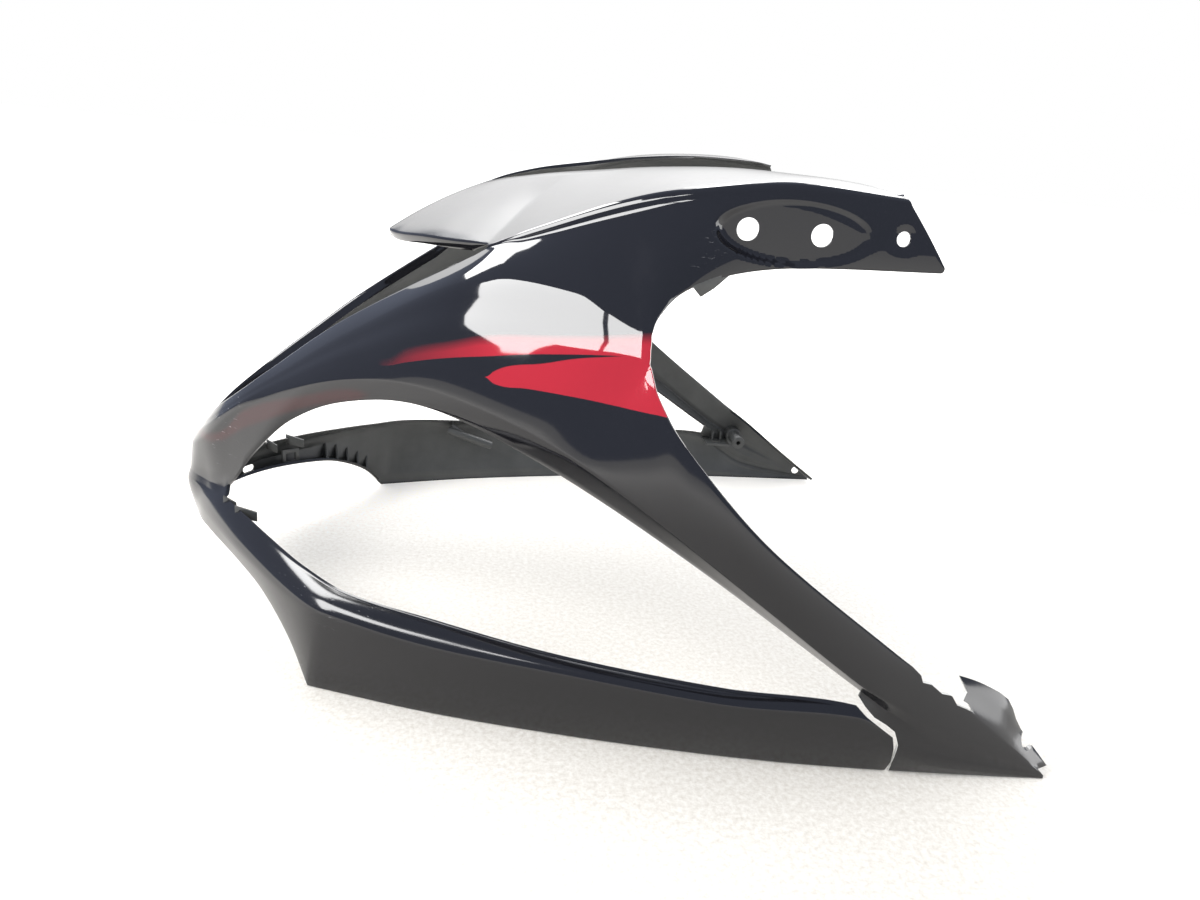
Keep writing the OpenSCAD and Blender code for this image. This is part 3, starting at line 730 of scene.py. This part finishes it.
# %% Gussets under the wheel arch, tabs behind the ledge and below the arm
UPWARDS, OFF_WALL = Vector((0, 0, 1)), Vector((0, -1, 1))
GUSSET_STATIONS, GUSSET_STEP = (3.7, 4.05, 4.4, 4.75, 5.1), (2, 1, 0)
# Share of the rim that a gusset spans, and its height over the rim
GUSSET_REACH, GUSSET_HEIGHT = 0.85, 13
# Station, and the step from the tab's root to its tip
LEDGE_TABS, LEDGE_TAB_STEP = [(2, (10, 0, -6)), (2.5, (17, 0, -5))], (0, 2, 0)
TAB_ROOT, TAB_RISE, TAB_DROP = Vector((-1, 1, 0)), Vector((0, 0, 4)), Vector((0, 0, 6))
# Outline in x and z, half width at its first corner, and how much narrower it gets along x
ARM_TAB, ARM_TAB_STEP = [(50, 315), (57, 308), (66, 314), (80, 327)], (0, -2, 0)
ARM_TAB_WIDTH, ARM_TAB_TAPER = 196, 0.283


def gusset(s, side):
    """A plate with three corners, from the rim up to the inside of the side wall."""
    foot, head = on(EDGES["ground"], s), on(EDGES["side"], s)
    rim = foot + GUSSET_REACH * on(RETURNS["arch"], s)
    top = foot.lerp(head, (GUSSET_HEIGHT + rim.z - foot.z) / (head.z - foot.z))
    return plate([foot + OFF_WALL, rim + UPWARDS, top + OFF_WALL], GUSSET_STEP, side)


def ledge_tab(s, step, side):
    """An upright tab behind the ledge."""
    root = on(EDGES["ledge"], s) + TAB_ROOT
    tip = root + Vector(step)
    return plate([root + TAB_RISE, root - TAB_DROP, tip - TAB_RISE, tip + TAB_RISE],
                 LEDGE_TAB_STEP, side)


def arm_tab(side):
    """The small tab that hangs below the arm."""
    corners = [(x, ARM_TAB_WIDTH - ARM_TAB_TAPER * (x - ARM_TAB[0][0]), z) for x, z in ARM_TAB]
    return plate(corners, ARM_TAB_STEP, side)


def ribs_and_tabs(side):
    """All gussets and tabs of one side."""
    return ([gusset(s, side) for s in GUSSET_STATIONS]
            + [ledge_tab(s, step, side) for s, step in LEDGE_TABS] + [arm_tab(side)])


joined("ribs_and_tabs", both_sides(ribs_and_tabs))

# %% [markdown]
# ## The loops beside the nose
# On each side of the nose an upright loop stands on the arch's rim. It is a flat frame: a
# plate's face is inset by the width of the bar, and the inner face is deleted before the
# rest is pushed out. A lone face has only open edges, so the inset starts from those.

# %% Upright loops on the rim beside the nose
LOOP_ENDS, LOOP_HEIGHT, LOOP_BAR, LOOP_STEP = (2.45, 2.85), Vector((0, 0, 16)), 3.8, (2, 0, 0)
# Share of the rim at which a loop stands
LOOP_PLACE = 0.55


def nose_loop(side):
    """The loop of one side, between two stations of the rim."""
    a, b = (on(EDGES["ground"], s) + LOOP_PLACE * on(RETURNS["arch"], s) + UPWARDS
            for s in LOOP_ENDS)
    return [plate([a, b, b + LOOP_HEIGHT, a + LOOP_HEIGHT], LOOP_STEP, side, LOOP_BAR)]


joined("nose_loops", both_sides(nose_loop))

# %% [markdown]
# ## The locating lugs
# A hollow lug behind each lower arm finds its place in the neighbouring part. It is a rod
# with a bore, carried by two plates, a web along it and a web across.

# %% Hollow locating lugs on two webs
LUG_FRONT, LUG_BACK = Vector((-125, 213, 62)), Vector((-75, 211, 47))
LUG_WIDTH, LUG_HOLE = 9, (4, 9)
# Corners of the webs: under the skin, below the lug, and at the wall
WEB_TOP, WEB_FOOT, WEB_WALL = Vector((4, 3, 8)), Vector((4, 0, -3)), Vector((4, 12, 0))
WEB_BACK, LONG_WEB_STEP, CROSS_WEB_STEP = Vector((-15, 0, 3)), (0, 2, 0), (2, 0, 0)


def locating_lug(side):
    """The lug of one side and its two webs."""
    along = LUG_BACK - LUG_FRONT
    top, foot = LUG_FRONT + WEB_TOP, LUG_FRONT + WEB_FOOT
    return [rod(LUG_FRONT, along, LUG_WIDTH, along.length, side, *LUG_HOLE),
            plate([top, foot, LUG_BACK + WEB_BACK], LONG_WEB_STEP, side),
            plate([top, foot, LUG_FRONT + WEB_WALL], CROSS_WEB_STEP, side)]


joined("locating_lugs", both_sides(locating_lug))

# %% [markdown]
# ## The paint
# The outside is gloss black paint with a red flash on each side panel. The dark red band over
# each headlight opening is a painted reflection. An image could hold them, but lines of height
# over length, drawn with nodes, are sharp at any distance and need no file.

# %% Tools for the materials
def shader(name):
    """The nodes of a material, and the one that shades it."""
    tree = bpy.data.materials[name].node_tree
    return tree, tree.nodes["Principled BSDF"]


for material in bpy.data.materials:
    material.use_nodes = True


def maths(tree, operation, *values, clamp=False):
    """The result of one sum on numbers or sockets, kept between 0 and 1 if clamped."""
    made = tree.nodes.new("ShaderNodeMath")
    made.operation = operation
    made.use_clamp = clamp
    for socket, value in zip(made.inputs, values):
        if isinstance(value, (int, float)):
            socket.default_value = value
        else:
            tree.links.new(value, socket)
    return made.outputs[0]


def object_axes(tree):
    """Sockets with the place on the object: the whole vector, x, y and z."""
    where = tree.nodes.new("ShaderNodeTexCoord")
    parts = tree.nodes.new("ShaderNodeSeparateXYZ")
    tree.links.new(where.outputs["Object"], parts.inputs[0])
    return where.outputs["Object"], parts.outputs[0], parts.outputs[1], parts.outputs[2]


LINE_X, LINE_Z = (-0.32, 0.06), (0.12, 0.32)


def line(tree, x, points):
    """Height in metres of a smooth line through points (x, z) in millimetres."""
    span = LINE_X[1] - LINE_X[0]
    share = maths(tree, "MULTIPLY_ADD", x, 1 / span, -LINE_X[0] / span, clamp=True)
    made = tree.nodes.new("ShaderNodeFloatCurve")
    tree.links.new(share, made.inputs["Value"])
    curve = made.mapping.curves[0]
    spots = [((px * MM - LINE_X[0]) / span, (pz * MM - LINE_Z[0]) / (LINE_Z[1] - LINE_Z[0]))
             for px, pz in points]
    curve.points[0].location = (0, spots[0][1])
    curve.points[1].location = (1, spots[-1][1])
    for spot in spots:
        curve.points.new(*spot)
    made.mapping.update()
    return maths(tree, "MULTIPLY_ADD", made.outputs[0], LINE_Z[1] - LINE_Z[0], LINE_Z[0])


def above(tree, z, height, soft):
    """1 above a height, 0 below it, with a soft edge that is so wide (metres)."""
    gap = maths(tree, "SUBTRACT", z, height)
    return maths(tree, "MULTIPLY_ADD", gap, 1 / soft, 0.5, clamp=True)


def noise(tree, where, scale, detail=2.0, roughness=0.5):
    """Speckles between 0 and 1, which are finer where the scale is larger."""
    made = tree.nodes.new("ShaderNodeTexNoise")
    made.inputs["Scale"].default_value = scale
    made.inputs["Detail"].default_value = detail
    made.inputs["Roughness"].default_value = roughness
    tree.links.new(where, made.inputs["Vector"])
    return made.outputs["Fac"]


def near(tree, where, spot, reach):
    """1 at a drawn spot on the left side, fading to 0 at its reach in millimetres."""
    made = tree.nodes.new("ShaderNodeVectorMath")
    made.operation = "DISTANCE"
    tree.links.new(where, made.inputs[0])
    made.inputs[1].default_value = place(spot, -1)
    return maths(tree, "MULTIPLY_ADD", made.outputs["Value"], -1 / (reach * MM), 1.0,
                 clamp=True)


def blend(tree, share, first, second):
    """A colour mixed from two, which may be plain colours or sockets."""
    made = tree.nodes.new("ShaderNodeMix")
    made.data_type = "RGBA"
    for socket, value in ((made.inputs[6], first), (made.inputs[7], second)):
        if isinstance(value, tuple):
            socket.default_value = value
        else:
            tree.links.new(value, socket)
    tree.links.new(share, made.inputs[0])
    return made.outputs[2]


# %% Gloss black paint with the red flash and the painted reflection
tree, paint = shader("black_paint")
where, x, _, z = object_axes(tree)
# The third colour is a painted reflection: the dark red seen over each headlight opening
BLACK, RED, PAINTED_REFLECTION_MAROON = (0.005, 0.005, 0.007, 1), (0.33, 0.011, 0.022, 1), (0.025, 0.002, 0.004, 1)
# Widths of the edges of the red, in metres
CRISP, FADED = 0.0005, 0.007
# The x at which each shape begins or ends, and the width of its edge there
BAND_FRONT, BAND_GROWTH, SPEAR_FRONT = (-0.152, 0.004), (-0.115, 0.09), (-0.0772, 0.001)
# Edge width and rear end of the painted reflection over the headlight openings
REFLECTION_EDGE, REFLECTION_REAR = 0.004, (0.163, 0.01)

band_low = line(tree, x, [(-152, 232), (-130, 240), (-110, 247), (-77, 256), (-35, 266),
                          (8, 272), (30, 272)])
band_high = line(tree, x, [(-152, 233), (-131, 246), (-100, 258), (-78, 266), (-30, 275),
                           (24, 284), (34, 286)])
spear_high = line(tree, x, [(-77, 243), (-71, 248), (-62, 253), (-41, 259), (-17, 267),
                            (8, 272), (34, 277)])
spear_low = line(tree, x, [(-77, 243), (-70, 240), (-48, 242), (-15, 243), (11, 242),
                           (34, 242)])
band = maths(tree, "MULTIPLY", above(tree, z, band_low, CRISP),
             maths(tree, "SUBTRACT", 1.0, above(tree, z, band_high, FADED)))
spear = maths(tree, "MULTIPLY", above(tree, z, spear_low, CRISP),
              maths(tree, "SUBTRACT", 1.0, above(tree, z, spear_high, CRISP)))
spear = maths(tree, "MULTIPLY", spear, above(tree, x, *SPEAR_FRONT))
band = maths(tree, "MULTIPLY", band, above(tree, x, *BAND_GROWTH))
band = maths(tree, "MULTIPLY", band, above(tree, x, *BAND_FRONT))
flash = maths(tree, "MAXIMUM", band, spear)
colour = blend(tree, flash, BLACK, RED)

# Painted reflection: a dark red band over each headlight opening, between two lines
reflection_high = line(tree, x, [(-305, 136), (-263, 170), (-208, 196), (-177, 208), (-160, 210)])
reflection_low = line(tree, x, [(-305, 130), (-263, 156), (-209, 186), (-169, 202), (-155, 208)])
painted_reflection = maths(tree, "MULTIPLY", above(tree, z, reflection_low, REFLECTION_EDGE),
               maths(tree, "SUBTRACT", 1.0, above(tree, z, reflection_high, REFLECTION_EDGE)))
forwards = maths(tree, "MULTIPLY", x, -1.0)
painted_reflection = maths(tree, "MULTIPLY", painted_reflection, above(tree, forwards, *REFLECTION_REAR))
colour = blend(tree, painted_reflection, colour, PAINTED_REFLECTION_MAROON)
print("nodes for the colours of the paint:", len(tree.nodes))

# %% [markdown]
# ## Wear
# Fine scratches gather where the part is handled, and dust dulls it low down. Stretched
# noise gives the streaks, and the distance from a few spots says where they are. Dust needs
# no colour: in gloss black a rougher surface shows it. The deck is duller than the sides.

# %% Scratches where the paint is handled most
SCRATCH = (0.42, 0.42, 0.43, 1)
# Drawn spot, and how far the scratches reach round it in millimetres
WORN_SPOTS = [((-296, 40, 150), 42), ((-282, 60, 168), 26), ((-206, 166, 80), 26),
              ((-178, 190, 78), 30), ((-150, 205, 76), 20), ((-8, 215, 325), 16),
              ((60, 190, 338), 18)]
stretched = tree.nodes.new("ShaderNodeMapping")
stretched.inputs["Scale"].default_value = (1.0, 1.0, 9.0)
stretched.inputs["Rotation"].default_value = (0.0, 0.6, 0.0)
tree.links.new(where, stretched.inputs["Vector"])
streaks = noise(tree, stretched.outputs[0], scale=95.0, detail=4.0, roughness=0.7)
streaks = maths(tree, "MULTIPLY_ADD", streaks, 14.0, -9.0, clamp=True)
worn = near(tree, where, *WORN_SPOTS[0])
for spot, reach in WORN_SPOTS[1:]:
    worn = maths(tree, "MAXIMUM", worn, near(tree, where, spot, reach))
worn = maths(tree, "MULTIPLY", worn, streaks, clamp=True)
colour = blend(tree, worn, colour, SCRATCH)
tree.links.new(colour, paint.inputs["Base Color"])
print("worn spots:", len(WORN_SPOTS))

# %% Dust on the paint
# Height below which dust has gathered, and the width of its edge
DUSTY, DUSTY_EDGE = 0.19, 0.16
# Roughness of the clean paint, and what speckles, low dust, deck and scratches add
CLEAN, SPECKLED, DUSTED, DULL_DECK, SCRATCHED = 0.02, 0.05, 0.10, 0.16, 0.4
dust = noise(tree, where, scale=55.0, detail=6.0, roughness=0.65)
low = maths(tree, "SUBTRACT", 1.0, above(tree, z, DUSTY, DUSTY_EDGE))
rough = maths(tree, "MULTIPLY_ADD", dust, SPECKLED, CLEAN)
rough = maths(tree, "MULTIPLY_ADD", low, DUSTED, rough)
on_deck = tree.nodes.new("ShaderNodeUVMap")
on_deck.uv_map = "along_and_down"
down = tree.nodes.new("ShaderNodeSeparateXYZ")
tree.links.new(on_deck.outputs[0], down.inputs[0])
deck = above(tree, down.outputs[1], 1 - (ROWS["deck"][1] + 1) / ROW_TOTAL, 0.01)
rough = maths(tree, "MULTIPLY_ADD", deck, DULL_DECK, rough)
rough = maths(tree, "MULTIPLY_ADD", worn, SCRATCHED, rough)
tree.links.new(rough, paint.inputs["Roughness"])
paint.inputs["IOR"].default_value = 1.5
print("nodes in the whole paint:", len(tree.nodes))

# %% [markdown]
# ## The plastic
# The inside is bare plastic, mottled dark grey. Its grain is too fine for real shape, so a
# little bump gives it. Where the moulding broke, the raw plastic is paler and dull, and one
# plain colour is enough for so thin an edge.

# %% Bare and broken plastic
DARK_GREY, PALE_GREY = (0.030, 0.032, 0.032, 1), (0.075, 0.077, 0.075, 1)
RAW_GREY = (0.62, 0.62, 0.60, 1)
tree, bare = shader("bare_plastic")
where = object_axes(tree)[0]
mottle = noise(tree, where, scale=30.0, detail=5.0, roughness=0.6)
tree.links.new(blend(tree, mottle, DARK_GREY, PALE_GREY), bare.inputs["Base Color"])
bare.inputs["Roughness"].default_value = 0.42
grain = tree.nodes.new("ShaderNodeBump")
grain.inputs["Distance"].default_value = 0.0003
grain.inputs["Strength"].default_value = 0.25
tree.links.new(noise(tree, where, scale=1400.0), grain.inputs["Height"])
tree.links.new(grain.outputs[0], bare.inputs["Normal"])

tree, broken = shader("broken_plastic")
broken.inputs["Base Color"].default_value = RAW_GREY
broken.inputs["Roughness"].default_value = 0.7
print("materials:", [material.name for material in bpy.data.materials])

# %% [markdown]
# ## The floor
# A pale floor with a fine speckle, as for a product photograph. It glows a little away from
# the part, so that it meets the white background without a line.

# %% Floor
# The floor glows least this far to the left of the origin, and its glow grows from there
FLOOR_MIDDLE, GLOW_SLOPE, GLOW_START = 0.35, 1.1, -0.25
bm = bmesh.new()
bmesh.ops.create_grid(bm, x_segments=1, y_segments=1, size=9.0)
floor = new_object("floor", bm)
floor_material = bpy.data.materials.new("floor_cloth")
floor_material.use_nodes = True
tree, cloth = shader("floor_cloth")
where, x, y = object_axes(tree)[:3]
speckle = noise(tree, where, scale=260.0, detail=3.0, roughness=0.7)
speckle = maths(tree, "MULTIPLY_ADD", speckle, 2.4, -0.7, clamp=True)
tree.links.new(blend(tree, speckle, (0.60, 0.565, 0.51, 1), (0.80, 0.78, 0.74, 1)),
               cloth.inputs["Base Color"])
cloth.inputs["Roughness"].default_value = 0.9
y_away = maths(tree, "ADD", y, FLOOR_MIDDLE)
away = maths(tree, "SQRT", maths(tree, "ADD", maths(tree, "POWER", x, 2.0),
                                 maths(tree, "POWER", y_away, 2.0)))
far = maths(tree, "MULTIPLY_ADD", away, GLOW_SLOPE, GLOW_START, clamp=True)
cloth.inputs["Emission Color"].default_value = (1.0, 1.0, 1.0, 1)
tree.links.new(far, cloth.inputs["Emission Strength"])
floor.data.materials.append(floor_material)
print("floor across:", tuple(floor.dimensions)[:2])

# %% [markdown]
# ## Lamps and cards
# Soft lamps give the shade. What is seen in gloss black is its surroundings, so the lamps
# are left out of the reflections, and glowing cards, which show in reflections only, stand
# where its bright patches come from: reflections were followed back from the camera.

# %% Lamps
def lamp(name, at, towards, size, power):
    """A soft lamp that gives shade and isn't seen itself, nor in reflections."""
    data = bpy.data.lights.new(name, "AREA")
    data.shape = "RECTANGLE"
    data.size, data.size_y = size
    data.energy = power
    made = bpy.data.objects.new(name, data)
    look = Vector(towards) - Vector(at)
    turn = look.to_track_quat("-Z", "Y").to_matrix().to_4x4()
    made.matrix_world = Matrix.Translation(at) @ turn
    made.visible_camera = made.visible_glossy = False
    bpy.context.scene.collection.objects.link(made)


lamp("ceiling", (0.2, 0.2, 2.6), (0, 0, 0), (3.0, 1.4), 24)
lamp("window", (-1.46, -0.84, 1.52), (-0.03, -0.19, 0.29), (1.05, 0.95), 50)
lamp("behind", (-0.5, 2.4, 1.5), (0, 0, 0.2), (5.0, 2.0), 46)
print("lamps:", [data.name for data in bpy.data.lights])


# %% Cards for the reflections
def card(name, corners, strength, slope=0.0):
    """A glowing card with these corners, in metres, brighter upwards by the slope."""
    bm = bmesh.new()
    ring = bmesh.ops.create_circle(bm, segments=len(corners), radius=1.0,
                                   cap_ends=True)["verts"]
    for vert, corner in zip(ring, corners):
        vert.co = corner
    made = new_object(name, bm)
    made.data.materials.append(bpy.data.materials.new(name))
    made.data.materials[0].use_nodes = True
    tree, glow = shader(name)
    glow.inputs["Base Color"].default_value = (0, 0, 0, 1)
    glow.inputs["Emission Color"].default_value = (1, 1, 1, 1)
    if slope:
        height = object_axes(tree)[3]
        tree.links.new(maths(tree, "MULTIPLY_ADD", height, slope, strength),
                       glow.inputs["Emission Strength"])
    else:
        glow.inputs["Emission Strength"].default_value = strength
    made.visible_camera = made.visible_diffuse = made.visible_shadow = False


card("card_behind", [(-1.75, 2.97, 0.45), (3.25, 2.97, 0.45), (3.25, 1.83, 2.55),
                     (-1.75, 1.83, 2.55)], -1.3, slope=3.0)
card("card_window", [(-1.77, 0.06, 1.64), (-1.51, 0.02, 1.91), (-0.87, -1.40, 1.91),
                     (-1.11, -1.61, 1.52), (-1.54, -1.14, 1.27), (-1.85, -1.26, 0.84),
                     (-1.96, -1.12, 0.80)], 18.0)
card("card_pane", [(-0.80, -1.46, 1.96), (-1.01, -1.66, 1.61), (-0.77, -1.84, 1.80),
                   (-0.64, -1.72, 2.01)], 18.0)
card("card_above", [(-1.10, 0.90, 1.2), (-1.10, 0.55, 1.2), (-0.75, 0.30, 1.2),
                    (-0.40, 0.40, 1.2), (-0.40, 0.90, 1.2)], 16.0)
card("card_over", [(0.05, 0.65, 1.2), (0.95, 0.65, 1.2), (0.95, 0.95, 1.2),
                   (0.05, 0.95, 1.2)], 16.0)
card("card_low", [(2.2, -1.4, 0.03), (2.2, -0.4, 0.03), (2.2, -0.4, 0.6),
                  (2.2, -1.4, 0.6)], 6.0)

# %% [markdown]
# ## The world
# The floor wants a bright sky, the black paint a dim and bluish one, and the photograph's
# background is white. So the world gives each kind of ray a sky of its own.

# %% World
world = bpy.data.worlds.new("studio")
bpy.context.scene.world = world
world.use_nodes = True
nodes, links = world.node_tree.nodes, world.node_tree.links
sky = nodes["Background"]
sky.inputs["Color"].default_value = (0.94, 0.96, 1.0, 1)
sky.inputs["Strength"].default_value = 0.75
dim = nodes.new("ShaderNodeBackground")
dim.inputs["Color"].default_value = (0.48, 0.54, 0.70, 1)
white = nodes.new("ShaderNodeBackground")
white.inputs["Color"].default_value = (1, 1, 1, 1)
path = nodes.new("ShaderNodeLightPath")
for_gloss, for_camera = nodes.new("ShaderNodeMixShader"), nodes.new("ShaderNodeMixShader")
links.new(path.outputs["Is Glossy Ray"], for_gloss.inputs["Fac"])
links.new(sky.outputs["Background"], for_gloss.inputs[1])
links.new(dim.outputs["Background"], for_gloss.inputs[2])
links.new(path.outputs["Is Camera Ray"], for_camera.inputs["Fac"])
links.new(for_gloss.outputs["Shader"], for_camera.inputs[1])
links.new(white.outputs["Background"], for_camera.inputs[2])
links.new(for_camera.outputs["Shader"], nodes["World Output"].inputs["Surface"])
bpy.context.scene.view_settings.view_transform = "Standard"

# %% Bring the scene up to date
bpy.context.view_layer.update()
